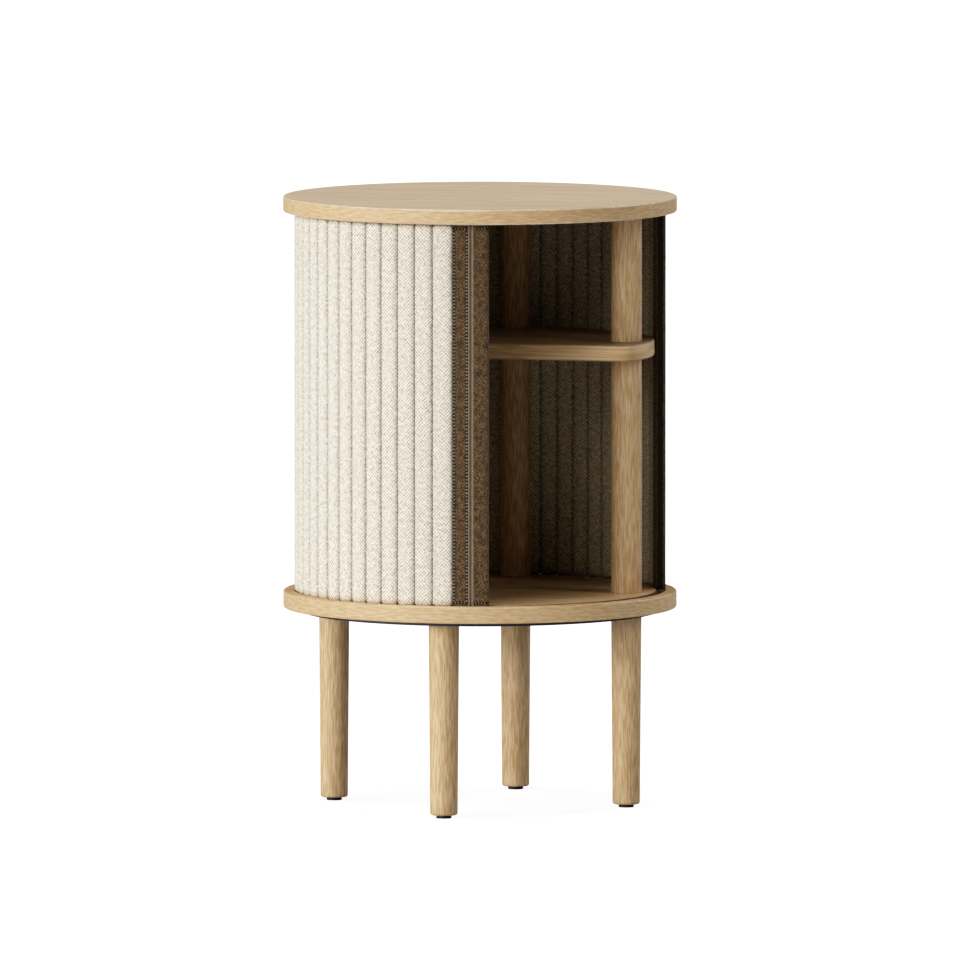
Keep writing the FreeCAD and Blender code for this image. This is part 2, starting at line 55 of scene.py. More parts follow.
# The curtain's layout, which repeats the CAD's angles round +Z, counterclockwise from +X.
CURTAIN_START = 14.25 * DEG
PULL_PITCH = 5.65 * DEG
END_PITCH = 6.4 * DEG
SLAT_PITCH = 5.78 * DEG
REGULAR_SLATS = 41
RIGHT_SEAM = CURTAIN_START + 2 * PULL_PITCH
FIRST_REGULAR = RIGHT_SEAM + END_PITCH
LAST_REGULAR = FIRST_REGULAR + REGULAR_SLATS * SLAT_PITCH
FRONT_SEAM = LAST_REGULAR + END_PITCH

OUTER_FACE = -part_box("cover_outer")[0].x
SLAT_OUTER = OUTER_FACE - 1.2 * MM
SLAT_INNER = -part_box("cover_inner")[0].x
INNER_FACE = SLAT_INNER - 1.2 * MM
HEM_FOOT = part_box("cover_outer")[0].z
HEM_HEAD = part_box("cover_outer")[1].z
HEM_MIDDLE = (HEM_FOOT + HEM_HEAD) / 2
DISC_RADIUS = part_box("top_panel")[1].x

# Stitches; their start and lengths are shares of their pitch.
STITCH_PITCH = 3.3 * MM
STITCH_START = 0.2
STITCH_LENGTH = 0.52
HEM_LINE = 3.0 * MM
HEM_STITCH_PITCH = 2.9 * MM
HEM_STITCH_LENGTH = 0.45

# How often the curtain's unevenness changes, per radian and per metre, and its seed.
WOBBLE_ROUND = 24
WOBBLE_UP = 38
WOBBLE_SEED = 3.7


# ---------------------------------------------------------------- node graphs

class Graph:
    """A material's node tree, with short calls for the nodes that are used here.

    A value is a number or another node's socket.
    """

    def __init__(self, name):
        self.material = bpy.data.materials.new(name)
        self.material.use_nodes = True
        self.tree = self.material.node_tree
        self.shader = self.tree.nodes["Principled BSDF"]

    def node(self, kind, **settings):
        made = self.tree.nodes.new(kind)
        for key, value in settings.items():
            setattr(made, key, value)
        return made

    def plug(self, value, socket):
        if isinstance(value, bpy.types.NodeSocket):
            self.tree.links.new(value, socket)
        else:
            socket.default_value = value

    def math(self, operation, *values):
        made = self.node("ShaderNodeMath", operation=operation)
        for value, socket in zip(values, made.inputs):
            self.plug(value, socket)
        return made.outputs[0]

    def coordinates(self, output="Object"):
        """The three parts of a texture coordinate; object coordinates are in metres."""
        made = self.node("ShaderNodeTexCoord")
        split = self.node("ShaderNodeSeparateXYZ")
        self.plug(made.outputs[output], split.inputs[0])
        return tuple(split.outputs)

    def vector(self, *values):
        made = self.node("ShaderNodeCombineXYZ")
        for value, socket in zip(values, made.inputs):
            self.plug(value, socket)
        return made.outputs[0]

    def stretched(self, place, scales):
        """A vector of the three coordinates, each times its own scale per metre."""
        return self.vector(*[self.math("MULTIPLY", axis, scale)
                             for axis, scale in zip(place, scales)])

    def noise(self, vector, detail=3.0, roughness=0.55, distortion=0.0):
        """Smooth noise with one feature to each unit of the vector."""
        made = self.node("ShaderNodeTexNoise")
        self.plug(vector, made.inputs["Vector"])
        made.inputs["Scale"].default_value = 1.0
        made.inputs["Detail"].default_value = detail
        made.inputs["Roughness"].default_value = roughness
        made.inputs["Distortion"].default_value = distortion
        return made.outputs["Fac"]

    def between(self, value, low, high, to_low=0.0, to_high=1.0):
        """Map a value from one range to another, smoothly and clamped."""
        made = self.node("ShaderNodeMapRange", interpolation_type="SMOOTHSTEP")
        for number, item in enumerate((value, low, high, to_low, to_high)):
            self.plug(item, made.inputs[number])
        return made.outputs[0]

    def mix(self, factor, first, second):
        """Blend two colours, each a socket or three channels."""
        made = self.node("ShaderNodeMix", data_type="RGBA")
        self.plug(factor, made.inputs["Factor"])
        colours = [socket for socket in made.inputs if socket.type == "RGBA"]
        for value, socket in zip((first, second), colours):
            self.plug(value if isinstance(value, bpy.types.NodeSocket) else (*value, 1), socket)
        return next(socket for socket in made.outputs if socket.type == "RGBA")

    def attribute(self, title):
        return self.node("ShaderNodeAttribute", attribute_name=title).outputs["Fac"]

    def bump(self, height, distance, strength):
        made = self.node("ShaderNodeBump")
        made.inputs["Strength"].default_value = strength
        made.inputs["Distance"].default_value = distance
        self.plug(height, made.inputs["Height"])
        self.plug(made.outputs[0], self.shader.inputs["Normal"])

    def surface(self, colour, roughness):
        self.plug(colour, self.shader.inputs["Base Color"])
        self.plug(roughness, self.shader.inputs["Roughness"])
        return self.material


# ---------------------------------------------------------------- wood

# Each wood's light, dark and pore colour.
RIM_TONES = ((0.661, 0.483, 0.287), (0.492, 0.313, 0.152), (0.365, 0.218, 0.10))
# The top's face tones are oak made paler and greyer than the deck's: a painted sheen, the white
# backdrop's reflection at a grazing view.
FACE_TONES_PAINTED_SHEEN = ((0.745, 0.598, 0.440), (0.545, 0.415, 0.285), (0.435, 0.313, 0.20))
DECK_TONES = ((0.70, 0.505, 0.30), (0.50, 0.318, 0.158), (0.33, 0.191, 0.087))
TURNED_TONES = ((0.705, 0.522, 0.322), (0.522, 0.335, 0.165), (0.365, 0.218, 0.10))
POPLAR_TONES = ((0.66, 0.55, 0.40), (0.52, 0.41, 0.27), (0.52, 0.41, 0.27))
# How far the shelf's faces are darkened from the deck's tones, as painted shade inside the cabinet.
SHELF_PAINTED_SHADE = 0.6

# How often wood changes along, across and through its fibres, per metre.
WAVER_SCALE = (28, 60, 60)
BAND_SCALE = (4, 70, 70)
FIBRE_SCALE = (40, 1600, 1600)
PORE_SCALE = (90, 1300, 1300)
WAVER_REACH = 1.6 * MM

# The same for its streaks, along and across.
FACE_STREAK = (8, 230)
RIM_STREAK = (85, 560)
SHELF_RIM_STREAK = (14, 420)
TURNED_STREAK = (55, 720)
SLAT_STREAK = (55, 480)


def grain(graph, along, across, depth, tones, streak, streak_mix, band_mix=0.35):
    """Colour and height of wood whose fibres run with the first coordinate.

    streak_mix and band_mix say how dark the streaks and the broader bands become.
    """
    light, dark, pore = tones
    waver = graph.noise(graph.stretched((along, across, depth), WAVER_SCALE), 1.0)
    across = graph.math("ADD", across, graph.math("MULTIPLY", waver, WAVER_REACH))
    place = (along, across, depth)
    run, fine = streak
    bands = graph.noise(graph.stretched(place, BAND_SCALE), 3.0, 0.6)
    streaks = graph.noise(graph.stretched(place, (run, fine, fine)), 1.5, 0.5)
    fibres = graph.noise(graph.stretched(place, FIBRE_SCALE), 2.0, 0.6)
    pores = graph.between(graph.noise(graph.stretched(place, PORE_SCALE), 2.0, 0.5), 0.60, 0.74)
    tone = graph.mix(graph.between(streaks, 0.38, 0.62, 0.0, streak_mix), light, dark)
    tone = graph.mix(graph.between(bands, 0.45, 0.75, 0.0, band_mix), tone, dark)
    tone = graph.mix(graph.between(fibres, 0.45, 0.75, 0.0, 0.4), tone, dark)
    tone = graph.mix(graph.math("MULTIPLY", pores, 0.55), tone, pore)
    return tone, graph.math("SUBTRACT", fibres, pores)


def with_painted_shade(tones, share):
    """The same tones, darker: a painted shade."""
    return tuple(tuple(channel * share for channel in tone) for tone in tones)


def oak_board(name, face_tones, rim_streak=RIM_STREAK, rim_mix=0.65):
    """Veneered board: straight grain on its faces, and its own grain round its rim."""
    graph = Graph(name)
    x, y, z = graph.coordinates()
    face, face_height = grain(graph, x, y, z, face_tones, FACE_STREAK, 0.75, 0.7)
    angle = graph.math("ARCTAN2", y, x)
    round_rim = graph.math("MULTIPLY", angle, DISC_RADIUS)
    rim, rim_height = grain(graph, round_rim, z, 0.0, RIM_TONES, rim_streak, rim_mix)
    _, _, upward = graph.coordinates("Normal")
    on_face = graph.between(graph.math("ABSOLUTE", upward), 0.25, 0.5)
    colour = graph.mix(on_face, rim, face)
    height = graph.math("ADD", graph.math("MULTIPLY", face_height, on_face), rim_height)
    graph.bump(height, 0.12 * MM, 0.35)
    return graph.surface(colour, graph.between(face_height, 0.0, 1.0, 0.6, 0.48))


def oak_turned():
    """Solid oak with its grain upright."""
    graph = Graph("oak_turned")
    x, y, z = graph.coordinates()
    colour, height = grain(graph, z, x, y, TURNED_TONES, TURNED_STREAK, 1.0)
    graph.bump(height, 0.12 * MM, 0.35)
    return graph.surface(colour, graph.between(height, 0.0, 1.0, 0.6, 0.5))


def slat_wood():
    """Plain poplar with its grain upright."""
    graph = Graph("slat_wood")
    x, y, z = graph.coordinates()
    colour, height = grain(graph, z, x, y, POPLAR_TONES, SLAT_STREAK, 0.85)
    graph.bump(height, 0.1 * MM, 0.4)
    return graph.surface(colour, 0.7)


# ---------------------------------------------------------------- plastic and metal

# Each stuff's light and dark colour, and each finish's lowest and highest roughness.
BLACK_PLASTIC = ((0.022, 0.022, 0.022), (0.010, 0.010, 0.010))
BROWN_PLASTIC = ((0.12, 0.075, 0.045), (0.07, 0.045, 0.027))
BLACK_LAMINATE = ((0.060, 0.066, 0.076), (0.035, 0.039, 0.047))
BRASS = ((0.78, 0.58, 0.27), (0.60, 0.42, 0.17))
ZINC = ((0.66, 0.66, 0.64), (0.48, 0.48, 0.47))
MATT = (0.5, 0.65)
BRIGHT = (0.25, 0.4)
PLATED = (0.3, 0.45)
SPECK_SCALE = (1500, 1500, 1500)
CLOUD_SCALE = (40, 40, 40)


def speckled(name, tones, roughness, metallic=0.0):
    """Plain stuff with a fine grain in its colour, roughness and surface."""
    light, dark = tones
    graph = Graph(name)
    place = graph.coordinates()
    fine = graph.noise(graph.stretched(place, SPECK_SCALE), 3.0, 0.6)
    broad = graph.noise(graph.stretched(place, CLOUD_SCALE), 3.0, 0.5)
    graph.shader.inputs["Metallic"].default_value = metallic
    graph.bump(fine, 0.05 * MM, 0.4)
    tone = graph.mix(graph.between(fine, 0.35, 0.65), dark, light)
    tone = graph.mix(graph.between(broad, 0.4, 0.7, 0.0, 0.35), tone, dark)
    return graph.surface(tone, graph.between(broad, 0.3, 0.7, *roughness))


# ---------------------------------------------------------------- cloth and leather

# The lining is the same cream cloth; this darkens and yellows it as painted shade for the cabinet's
# inside.
LINING_PAINTED_SHADE = (0.90, 0.91, 0.83)
CLOTH_LIGHT = (0.95, 0.88, 0.76)
CLOTH_DARK = (0.36, 0.31, 0.24)
# Painted shade in the sewn valleys between the pockets.
CLOTH_VALLEY_SHADE = (0.19, 0.16, 0.125)
LEATHER_GOLD = (0.245, 0.149, 0.062)
LEATHER_DARK = (0.018, 0.013, 0.009)
# Paler ridges: a painted highlight.
LEATHER_RIDGE_HIGHLIGHT = (0.27, 0.225, 0.175)
LEATHER_FOLD = (0.22, 0.135, 0.058)
# The pull's free end, painted almost black as shade.
LEATHER_END_SHADE = (0.016, 0.012, 0.008)
# Painted shade in the stitch holes and along the hem rows.
STITCH_SHADE = (0.004, 0.003, 0.002)

# Each thread's light and dark colour.
TAN_THREAD = ((0.60, 0.52, 0.42), (0.30, 0.25, 0.19))
CREAM_THREAD = ((0.62, 0.57, 0.48), (0.33, 0.29, 0.23))
TWIST_PITCH = 0.5 * MM
FUZZ_SCALE = (2500, 2500, 2500)

# The weaves' lines, and the patches in which they lean one way.
CLOTH_TWILL = 3.5 * MM
CLOTH_PATCH = 6 * MM
LEATHER_TWILL = 2.7 * MM
LEATHER_PATCH = 4 * MM

# How far from a pull's hem row its painted shade fades out, and how far from a stitch's middle
# the painted shade of a hole sets in, as shares of the stitch pitch.
HEM_SHADE_REACH = (0.6 * MM, 1.3 * MM)
GAP_EDGES = (0.12, 0.26)

# How often cloth and leather change along and up the sheet, per metre.
STRAY_SCALE = (220, 220, 0)
YARN_SCALE = (300, 300, 0)
SLUB_SCALE = (150, 230, 0)
PATCHY_SHADE_SCALE = (150, 420, 0)
FLECK_SCALE = (620, 520, 0)
MOTTLE_SCALE = (190, 140, 0)


def twill(graph, across, up, pitch, patch):
    """Diagonal weave that leans one way or the other in patches, from 0 to 1."""
    place = (across, up, 0.0)
    lean = graph.noise(graph.stretched(place, (1 / patch, 1 / patch, 0)), 1.0)
    lean = graph.between(lean, 0.46, 0.54, 0.15, 0.85)
    stray = graph.noise(graph.stretched(place, STRAY_SCALE), 1.0)
    across = graph.math("ADD", across, graph.math("MULTIPLY", stray, 0.35 * pitch))
    turns = 2 * math.pi / pitch
    rising = graph.math("SINE", graph.math("MULTIPLY", graph.math("ADD", across, up), turns))
    falling = graph.math("SINE", graph.math("MULTIPLY", graph.math("SUBTRACT", across, up), turns))
    weave = graph.math("ADD", graph.math("MULTIPLY", rising, lean),
                       graph.math("MULTIPLY", falling, graph.math("SUBTRACT", 1.0, lean)))
    return graph.math("ADD", graph.math("MULTIPLY", weave, 0.5), 0.5)


def curtain_cloth(name, painted_shade_share):
    """Cream twill; the UV map is in metres, round the curtain and up it.

    The attribute 'valley' is 1 on the sewn lines between the pockets, where the cloth is painted
    dark as shade, in patches.
    """
    # On the lining every tone is darkened here as painted shade; the outer cloth's are not.
    light, dark, sewn_line_shade = (tuple(share * channel for share, channel in zip(painted_shade_share, tone))
                         for tone in (CLOTH_LIGHT, CLOTH_DARK, CLOTH_VALLEY_SHADE))
    graph = Graph(name)
    across, up, _ = graph.coordinates("UV")
    place = (across, up, 0.0)
    weave = twill(graph, across, up, CLOTH_TWILL, CLOTH_PATCH)
    yarn = graph.noise(graph.stretched(place, YARN_SCALE), 2.0, 0.6)
    slub = graph.noise(graph.stretched(place, SLUB_SCALE), 2.0, 0.6)
    cover = graph.math("ADD", graph.math("MULTIPLY", weave, 0.65),
                       graph.math("MULTIPLY", yarn, 0.95))
    tone = graph.mix(graph.between(cover, 0.28, 1.0), dark, light)
    tone = graph.mix(graph.between(slub, 0.42, 0.70, 0.0, 0.30), tone, dark)
    # The valleys are painted dark as shade, patchy along them.
    patchy_shade = graph.noise(graph.stretched(place, PATCHY_SHADE_SCALE), 1.0)
    patchy_shade = graph.between(patchy_shade, 0.35, 0.65, 0.35, 1.0)
    depth = graph.math("MULTIPLY", graph.attribute("valley"), patchy_shade)
    tone = graph.mix(depth, tone, sewn_line_shade)
    graph.bump(cover, 0.3 * MM, 0.5)
    graph.shader.inputs["Sheen Weight"].default_value = 0.08
    graph.shader.inputs["Specular IOR Level"].default_value = 0.15
    return graph.surface(tone, graph.between(slub, 0.3, 0.7, 0.9, 0.97))


def hem_line_shade(graph, up):
    """1 on the sewn line of either hem of a pull, 0 away from it: where the leather is painted dark
    as shade.
    """
    from_middle = graph.math("ABSOLUTE", graph.math("SUBTRACT", up, HEM_MIDDLE))
    from_line = graph.math("SUBTRACT", HEM_MIDDLE - HEM_FOOT - HEM_LINE, from_middle)
    return graph.between(graph.math("ABSOLUTE", from_line), *HEM_SHADE_REACH, 1.0, 0.0)


def stitch_gaps(graph, up):
    """1 midway between two stitches of an upright row, 0 on a stitch."""
    first_gap = HEM_FOOT + HEM_LINE + (STITCH_START - (1 - STITCH_LENGTH) / 2) * STITCH_PITCH
    from_stitch = graph.math("SUBTRACT", up, first_gap - STITCH_PITCH / 2)
    beat = graph.math("PINGPONG", from_stitch, STITCH_PITCH / 2)
    return graph.between(beat, *[share * STITCH_PITCH for share in GAP_EDGES])


def pull_leather():
    """Brown nubuck; the UV map is in metres, round the sleeve and up it.

    Its attributes, from 0 to 1, are those of pull_marks.
    """
    graph = Graph("pull_leather")
    across, up, _ = graph.coordinates("UV")
    place = (across, up, 0.0)
    fleck = graph.noise(graph.stretched(place, FLECK_SCALE), 1.5, 0.5, 0.3)
    mottle = graph.noise(graph.stretched(place, MOTTLE_SCALE), 3.0, 0.65)
    weave = twill(graph, across, up, LEATHER_TWILL, LEATHER_PATCH)
    cover = graph.math("ADD", graph.math("MULTIPLY", fleck, 0.9),
                       graph.math("MULTIPLY", weave, 0.45))
    # The ridges are painted paler, as a highlight.
    ridge_highlight_share = graph.math("MULTIPLY", graph.attribute("ridge_highlight"), graph.between(cover, 0.3, 0.8, 0.55, 1.0))
    # Between the stitches of the upright rows the leather is painted dark, as shade in the holes.
    hole_shade = graph.math("MULTIPLY", graph.attribute("hole"), stitch_gaps(graph, up))
    tone = graph.mix(graph.between(cover, 0.40, 0.95), LEATHER_DARK, LEATHER_GOLD)
    tone = graph.mix(graph.between(mottle, 0.40, 0.68, 0.0, 0.60), tone, LEATHER_DARK)
    # The hem rows are painted dark as shade.
    tone = graph.mix(hem_line_shade(graph, up), tone, STITCH_SHADE)
    tone = graph.mix(ridge_highlight_share, tone, LEATHER_RIDGE_HIGHLIGHT)
    # The free end is painted almost black, as shade.
    tone = graph.mix(graph.attribute("rim"), tone, LEATHER_END_SHADE)
    tone = graph.mix(graph.attribute("fold"), tone, LEATHER_FOLD)
    tone = graph.mix(hole_shade, tone, STITCH_SHADE)
    graph.bump(cover, 0.2 * MM, 0.35)
    graph.shader.inputs["Sheen Weight"].default_value = 0.25
    graph.shader.inputs["Sheen Roughness"].default_value = 0.6
    graph.shader.inputs["Specular IOR Level"].default_value = 0.25
    return graph.surface(tone, graph.between(mottle, 0.3, 0.7, 0.75, 0.9))


def sewing_thread(name, tones):
    """Twisted yarn: fine slanting lines along a stitch."""
    light, dark = tones
    graph = Graph(name)
    x, y, z = graph.coordinates()
    around = graph.math("ADD", graph.math("ADD", x, y), z)
    twist = graph.math("SINE", graph.math("MULTIPLY", around, 2 * math.pi / TWIST_PITCH))
    fuzz = graph.noise(graph.stretched((x, y, z), FUZZ_SCALE), 2.0)
    graph.bump(twist, 0.05 * MM, 0.6)
    ply = graph.math("ADD", graph.math("MULTIPLY", twist, 0.3), fuzz)
    return graph.surface(graph.mix(graph.between(ply, 0.2, 0.9), dark, light), 0.75)


# ---------------------------------------------------------------- mesh helpers

def at(radius, angle, height):
    """Place at a radius and an angle round the curtain's axis."""
    return Vector((radius * math.cos(angle), radius * math.sin(angle), height))


def new_piece(name, vertices, faces, material):
    """A smooth mesh that turns with the curtain."""
    mesh = bpy.data.meshes.new(name)
    mesh.from_pydata([tuple(vertex) for vertex in vertices], [], faces)
    mesh.update()
    for polygon in mesh.polygons:
        polygon.use_smooth = True
    piece = bpy.data.objects.new(name, mesh)
    bpy.context.scene.collection.objects.link(piece)
    mesh.materials.append(material)
    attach(piece, "curtain")
    return piece


def grid_faces(columns, rows):
    """Quads of a sheet whose vertices run up one column after another."""
    return [(column * rows + row, (column + 1) * rows + row,
             (column + 1) * rows + row + 1, column * rows + row + 1)
            for column in range(columns - 1) for row in range(rows - 1)]


def set_uv(mesh, places):
    """One UV pair, in metres, for each vertex."""
    layer = mesh.uv_layers.new(name="UVMap")
    for loop in mesh.loops:
        layer.data[loop.index].uv = places[loop.vertex_index]


def set_attribute(mesh, title, values):
    """One number for each vertex, which a material reads by its title."""
    layer = mesh.attributes.new(title, "FLOAT", "POINT")
    layer.data.foreach_set("value", values)


def circle(radius, sides):
    """Corners of a regular polygon, as pairs."""
    turns = [2 * math.pi * side / sides for side in range(sides)]
    return [(radius * math.cos(turn), radius * math.sin(turn)) for turn in turns]


def add_tube(vertices, faces, rings):
    """A tube through rings of points, closed at both ends."""
    first, sides = len(vertices), len(rings[0])
    for ring in rings:
        vertices.extend(ring)
    last = len(vertices) - sides
    for start in range(first, last, sides):
        for side in range(sides):
            a, b = start + side, start + (side + 1) % sides
            faces.append((a, b, b + sides, a + sides))
    faces.append(tuple(range(first, first + sides))[::-1])
    faces.append(tuple(range(last, last + sides)))


def add_thickness(piece, thickness):
    """Let a sheet grow from its seen face towards the slats."""
    solid = piece.modifiers.new("cloth thickness", "SOLIDIFY")
    solid.thickness = thickness
    solid.offset = -1
    solid.use_even_offset = False


def wobble(angle, height, size):
    """Small smooth unevenness that is the same on each run."""
    return size * noise.noise(Vector((angle * WOBBLE_ROUND, height * WOBBLE_UP, WOBBLE_SEED)))


# ---------------------------------------------------------------- fabric skins

POCKET_COLUMNS = 14
SKIN_ROWS = 46
ROW_CROWDING = 0.25
CLOTH = 0.8 * MM
POCKET_POWER = 2.7
OUTER_VALLEY = SLAT_OUTER - 2.1 * MM
INNER_VALLEY = SLAT_INNER + 2.6 * MM
VALLEY_SWAY = 0.0022
POCKET_SWELL = 0.03
HEM_REACH = 2.0 * MM
HEM_LIFT = 1.2 * MM
HEM_TURN_IN = 0.12


def pocket_edges():
    """Angles of the sewn lines between the pockets, from seam to seam."""
    edges = [RIGHT_SEAM, FIRST_REGULAR]
    edges += [FIRST_REGULAR + step * SLAT_PITCH for step in range(1, REGULAR_SLATS + 1)]
    return edges + [FRONT_SEAM]


def row_heights():
    """Heights from hem to hem, closer together near the hems."""
    span = HEM_HEAD - HEM_FOOT
    steps = [index / (SKIN_ROWS - 1) for index in range(SKIN_ROWS)]
    crowded = [(1 - math.cos(math.pi * step)) / 2 for step in steps]
    return [HEM_FOOT + span * ((1 - ROW_CROWDING) * step + ROW_CROWDING * near)
            for step, near in zip(steps, crowded)]


def hem_rounding(height):
    """How far a skin turns in at its hems, from 0 to 1."""
    near = min(height - HEM_FOOT, HEM_HEAD - height) / HEM_REACH
    return 1 - math.sqrt(max(0.0, 1 - (1 - min(1.0, near)) ** 2))


def make_skin(name, node, crown, valley, material):
    """Cloth skin with a pocket over each slat; crown and valley are radii."""
    edges = pocket_edges()
    heights = row_heights()
    rise = crown - valley
    vertices, places, low = [], [], []
    travelled, previous = 0.0, None
    for pocket, (start, end) in enumerate(zip(edges, edges[1:])):
        last = pocket == len(edges) - 2
        for column in range(POCKET_COLUMNS + last):
            spread = -math.cos(math.pi * column / POCKET_COLUMNS)
            bulge = (1 - abs(spread) ** POCKET_POWER) ** (1 / POCKET_POWER)
            angle = (start + end) / 2 + spread * (end - start) / 2
            here = at(valley + rise * bulge, angle, 0)
            travelled += (here - previous).length if previous else 0.0
            previous = here
            for height in heights:
                sway = wobble(angle, height, VALLEY_SWAY) * (1 - bulge)
                swell = wobble(angle * 0.5, height * 0.6, POCKET_SWELL) * bulge
                hem = hem_rounding(height)
                radius = valley + rise * (bulge + swell) * (1 - HEM_TURN_IN * hem)
                lift = math.copysign(HEM_LIFT * (1 - bulge) * hem, HEM_MIDDLE - height)
                vertices.append(at(radius, angle + sway, height + lift))
                places.append((travelled, height))
                low.append(1 - bulge)
    rows = len(heights)
    faces = grid_faces(len(vertices) // rows, rows)
    if crown < valley:
        faces = [face[::-1] for face in faces]
    piece = new_piece(name, vertices, faces, material)
    set_uv(piece.data, places)
    # The cloth's material paints shade into the valleys by this attribute.
    set_attribute(piece.data, "valley", low)
    add_thickness(piece, CLOTH)
    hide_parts(node)


THREAD_RADIUS = 0.38 * MM
THREAD_SIDES = 4
THREAD_SWING = 0.35 * MM
THREAD_END = 2 * MM


def make_valley_threads(name, radius, outward, material):
    """One running stitch down each sewn line; outward is 1 on the outer skin, else -1."""
    vertices, faces = [], []
    half_turns = int((HEM_HEAD - HEM_FOOT - 2 * THREAD_END) / (STITCH_PITCH / 2))
    for edge in pocket_edges()[1:-1]:
        tangent = at(1, edge + 90 * DEG, 0)
        rings = []
        for step in range(half_turns + 1):
            height = HEM_FOOT + THREAD_END + step * STITCH_PITCH / 2
            depth = THREAD_SWING * (1 if step % 2 else -1) * outward
            angle = edge + wobble(edge, height, VALLEY_SWAY)
            rings.append([at(radius + depth + out, angle, height) + tangent * aside
                          for out, aside in circle(THREAD_RADIUS, THREAD_SIDES)])
        add_tube(vertices, faces, rings)
    new_piece(name, vertices, faces, material)


# ---------------------------------------------------------------- leather pulls

PULL_ROWS = 60
FLAT_STEPS = 76
TURN_STEPS = 14
LEATHER = 1.1 * MM
PULL_WIDTH = 2 * PULL_PITCH * OUTER_FACE
SEAM_LINE = 1.6 * MM
FOLD_LINE = 14.0 * MM
FOLD = PULL_WIDTH / 2
RIDGES = (FOLD - 1.75 * MM, FOLD + 1.85 * MM)

# Depth or rise, and width, of what stands out on the leather's face.
ROW_DEPTH, ROW_WIDTH = 0.30 * MM, 0.55 * MM
CREASE_DEPTH, CREASE_WIDTH = 1.0 * MM, 0.62 * MM
RIDGE_RISE, RIDGE_WIDTH = 0.32 * MM, 0.8 * MM
SEAM_DROP, SEAM_WIDTH = 0.8 * MM, 0.35 * MM

# Hem rows of stitches, the sleeve's free end and its hems.
HEM_ROWS = ((SEAM_LINE, FOLD_LINE), (FOLD + 3.4 * MM, PULL_WIDTH - 2.7 * MM))
END_RADIUS = 3.6 * MM
END_POWER = 0.8
SLEEVE_DEPTH = OUTER_FACE - INNER_FACE
# Where round the free end the leather is painted dark as shade.
END_SHADE_START = 2.2 * MM
END_SHADE_END = SLEEVE_DEPTH - 0.8 * MM
HEM_INSET = 0.35 * MM
HEM_STEPS = (0.6 * MM, 1.8 * MM)
LEATHER_SWAY = 0.10 * MM


def bell(place, centre, width):
    """1 at the centre, falling smoothly to 0 over a few widths."""
    return math.exp(-((place - centre) / width) ** 2)


def pull_relief(place):
    """Height of the leather over its plain face, at a distance from the seam."""
    rows = sum(bell(place, line, ROW_WIDTH) for line in (SEAM_LINE, FOLD_LINE))
    ridges = sum(bell(place, ridge, RIDGE_WIDTH) for ridge in RIDGES)
    crease = bell(place, FOLD, CREASE_WIDTH)
    seam = math.exp(-place / SEAM_WIDTH)
    return RIDGE_RISE * ridges - ROW_DEPTH * rows - CREASE_DEPTH * crease - SEAM_DROP * seam


def pull_section():
    """Plan of the sleeve: (distance from the seam, depth below the outer face) pairs.

    It runs from the seam over both slats, round the free end and back on the inside.
    """
    flat = PULL_WIDTH - END_RADIUS
    outside = [index * flat / FLAT_STEPS for index in range(FLAT_STEPS)]
    section = [(place, -pull_relief(place)) for place in outside]
    for index in range(TURN_STEPS + 1):
        turn = math.pi * index / TURN_STEPS
        reach = abs(math.sin(turn)) ** END_POWER
        rise = math.copysign(abs(math.cos(turn)) ** END_POWER, math.cos(turn))
        section.append((flat + END_RADIUS * reach, SLEEVE_DEPTH / 2 * (1 - rise)))
    section += [(place, SLEEVE_DEPTH + pull_relief(place)) for place in reversed(outside)]
    return section


def section_angle(place, seam, direction):
    """Angle round the curtain of a place on a pull; direction is +1 or -1, to its free end."""
    return seam + direction * place / OUTER_FACE


def pull_marks(place, depth):
    """Where the leather looks different, from 0 to 1.

    'fold' marks the crease between the ridges, 'rim' the free end, painted dark as shade,
    and 'hole' the upright sewn rows, whose stitch holes are painted dark as shade; the first
    mark is the ridges, painted paler as a highlight.
    """
    sewn_line_shade = max(bell(place, SEAM_LINE, 1.15 * MM), bell(place, FOLD_LINE, 1.0 * MM))
    return {"ridge_highlight": max(bell(place, ridge, 0.85 * MM) for ridge in RIDGES),
            "fold": bell(place, FOLD, 0.7 * MM),
            "rim": float(END_SHADE_START < depth < END_SHADE_END),
            "hole": min(1.0, 1.5 * sewn_line_shade)}


def make_pull(side, seam, direction, leather):
    """Leather sleeve over two slats, from its seam to its free end and back."""
    section = pull_section()
    span = HEM_HEAD - HEM_FOOT
    heights = [HEM_FOOT + span * index / (PULL_ROWS - 1) for index in range(PULL_ROWS)]
    heights[1:1] = [HEM_FOOT + step for step in HEM_STEPS]
    heights[-1:-1] = [HEM_HEAD - step for step in reversed(HEM_STEPS)]
    rows = len(heights)
    vertices, places = [], []
    marks = {"ridge_highlight": [], "fold": [], "rim": [], "hole": []}
    travelled, previous = 0.0, None
    for place, depth in section:
        here = Vector((place, depth))
        travelled += (here - previous).length if previous else 0.0
        previous = here
        angle = section_angle(place, seam, direction)
        for height in heights:
            inset = math.copysign(HEM_INSET * hem_rounding(height), depth - SLEEVE_DEPTH / 2)
            radius = OUTER_FACE - depth + inset + wobble(angle, height, LEATHER_SWAY)
            vertices.append(at(radius, angle, height))
            places.append((travelled, height))
        for title, value in pull_marks(place, depth).items():
            marks[title] += [value] * rows
    faces = grid_faces(len(section), rows)
    if direction < 0:
        faces = [face[::-1] for face in faces]
    piece = new_piece(f"{side}_pull", vertices, faces, leather)
    set_uv(piece.data, places)
    for title, values in marks.items():
        set_attribute(piece.data, title, values)
    add_thickness(piece, LEATHER)
    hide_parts(f"pull_{side}")


STITCH_RADIUS = 0.46 * MM
STITCH_RINGS = 5
STITCH_SIDES = 6
STITCH_SINK = 0.25 * MM


